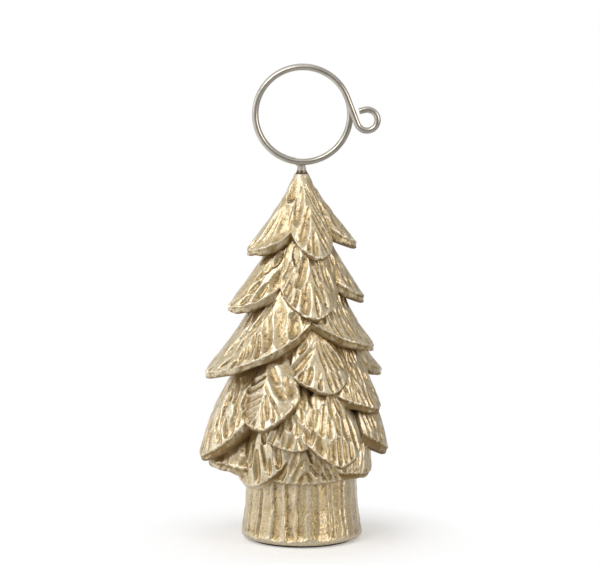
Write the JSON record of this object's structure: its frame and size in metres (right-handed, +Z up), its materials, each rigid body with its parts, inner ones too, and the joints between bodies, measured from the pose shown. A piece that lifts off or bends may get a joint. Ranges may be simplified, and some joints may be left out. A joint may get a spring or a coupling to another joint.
{
  "type": "place card holder",
  "caption": "Gold-painted cast fir tree on a carved stump, with a sprung double-turn wire ring in its tip that grips a place card.",
  "frame": {"origin": "centre of the felt pad's underside, the face that the holder stands on", "axes": "+Z up along the tree, -Y towards the front, where the ring is seen as a circle, +X towards the ring's finger curl"},
  "size_m": [0.0474, 0.0456, 0.1193],
  "materials": {
    "felt": "matte",
    "gold_paint": "satin",
    "adhesive": "gloss",
    "wire": "satin"
  },
  "bodies": {
    "holder": {"felt_pad": "felt", "tree_casting": "gold_paint", "tip_adhesive": "adhesive", "clip_back_turn": "wire"},
    "clip_front": {"clip_front_turn": "wire"}
  },
  "joints": [
    {"name": "clip_flex", "type": "hinge", "parent": "holder", "child": "clip_front", "pos_m": [0.0003, -0.0019, 0.09505], "axis": [1, 0, 0], "range_deg": [0, 3], "stiffness_Nm_per_rad": 3.5}
  ]
}
